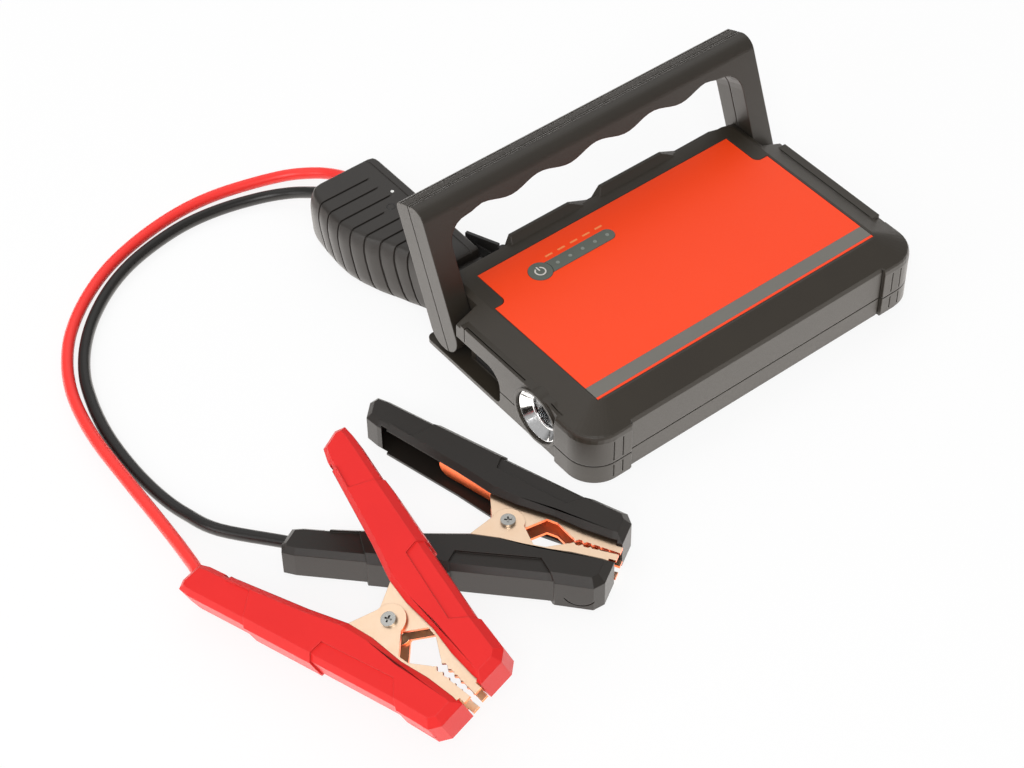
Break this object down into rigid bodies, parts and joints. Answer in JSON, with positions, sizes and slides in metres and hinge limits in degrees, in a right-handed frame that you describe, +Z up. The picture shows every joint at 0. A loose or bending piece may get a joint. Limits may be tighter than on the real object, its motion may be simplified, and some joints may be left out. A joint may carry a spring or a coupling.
{
  "type": "jump starter pack",
  "caption": "Flat jump starter pack with an orange fascia, folding carry handle, torch, port cover and a plug-in lead with red and black battery clamps.",
  "frame": {"origin": "middle of the case's flat base", "axes": "+X to the case's right, +Y from the front wall to the rear wall, +Z up from the base"},
  "size_m": [0.4378, 0.3983, 0.092],
  "materials": {
    "case_plastic": "fine moulded grain",
    "handle_plastic": "fine moulded grain",
    "orange_panel": "satin",
    "grey_print": "printed, satin",
    "pale_marks": "satin",
    "board": "solder mask",
    "black_plastic": "moulded",
    "cell_foil": "matt foil",
    "cover_rubber": "matt",
    "steel": "plated",
    "chrome": "polished",
    "clear_lens": "clear",
    "led_board": "white board",
    "brass": "plated",
    "plug_plastic": "fine moulded grain",
    "red_cable": "satin silicone",
    "black_cable": "satin silicone",
    "red_grip": "satin",
    "black_grip": "satin",
    "copper": "copper plated steel"
  },
  "bodies": {
    "case": {"lower_shell": "case_plastic", "upper_shell": "case_plastic", "fascia_panel": "orange_panel", "panel_stripe": "grey_print", "level_marks": "pale_marks", "level_bar": "grey_print", "level_lights": "pale_marks", "circuit_board": "board", "battery_tray": "black_plastic", "battery_cells": "cell_foil", "case_screws": "steel", "torch_bezel": "chrome", "torch_lens": "clear_lens", "torch_reflector": "chrome", "torch_light": "led_board", "port_block": "black_plastic", "jump_socket": "black_plastic", "socket_contacts": "brass", "flap_hinge": "black_plastic", "handle_pins": "steel"},
    "handle": {"handle_front": "handle_plastic", "handle_rear": "handle_plastic", "handle_screws": "steel"},
    "button": {"power_button": "grey_print", "power_mark": "pale_marks"},
    "port_cover": {"port_cover": "cover_rubber"},
    "socket_flap": {"socket_flap": "black_plastic"},
    "smart_lead": {"plug_upper": "plug_plastic", "plug_lower": "plug_plastic", "plug_board": "board", "plug_pins": "brass", "plug_light": "pale_marks", "red_lead": "red_cable", "black_lead": "black_cable", "red_cable_cover": "red_grip", "red_cable_jaw": "copper", "red_rivet": "steel", "red_spring": "steel", "red_crimp": "copper", "black_cable_cover": "black_grip", "black_cable_jaw": "copper", "black_rivet": "steel", "black_spring": "steel", "black_crimp": "copper"},
    "red_free_arm": {"red_free_cover": "red_grip", "red_free_jaw": "copper"},
    "black_free_arm": {"black_free_cover": "black_grip", "black_free_jaw": "copper"}
  },
  "joints": [
    {"name": "handle_fold", "type": "hinge", "parent": "case", "child": "handle", "pos_m": [0, 0.0537, 0.0185], "axis": [-1, 0, 0], "range_deg": [-20, 28]},
    {"name": "power_press", "type": "slide", "parent": "case", "child": "button", "axis": [0, 0, -1], "range_m": [0, 0.0006], "stiffness_N_per_m": 300},
    {"name": "port_cover_open", "type": "hinge", "parent": "case", "child": "port_cover", "pos_m": [-0.1058, 0.02, 0.0048], "axis": [0, -1, 0], "range_deg": [0, 90]},
    {"name": "flap_swing", "type": "hinge", "parent": "case", "child": "socket_flap", "pos_m": [-0.06, 0.072, 0.02], "axis": [0, 0, -1], "range_deg": [0, 80]},
    {"name": "plug_pull", "type": "slide", "parent": "case", "child": "smart_lead", "axis": [0, 1, 0], "range_m": [0, 0.013]},
    {"name": "red_clamp_open", "type": "hinge", "parent": "smart_lead", "child": "red_free_arm", "pos_m": [-0.2545, -0.0975, 0.02164], "axis": [-0.3737, -0.0261, 0.9272], "range_deg": [0, 24], "stiffness_Nm_per_rad": 0.4, "springref_deg": -17.19},
    {"name": "black_clamp_open", "type": "hinge", "parent": "smart_lead", "child": "black_free_arm", "pos_m": [-0.17, -0.0717, 0], "axis": [0, 0, 1], "range_deg": [0, 24], "stiffness_Nm_per_rad": 0.4, "springref_deg": -17.19}
  ]
}
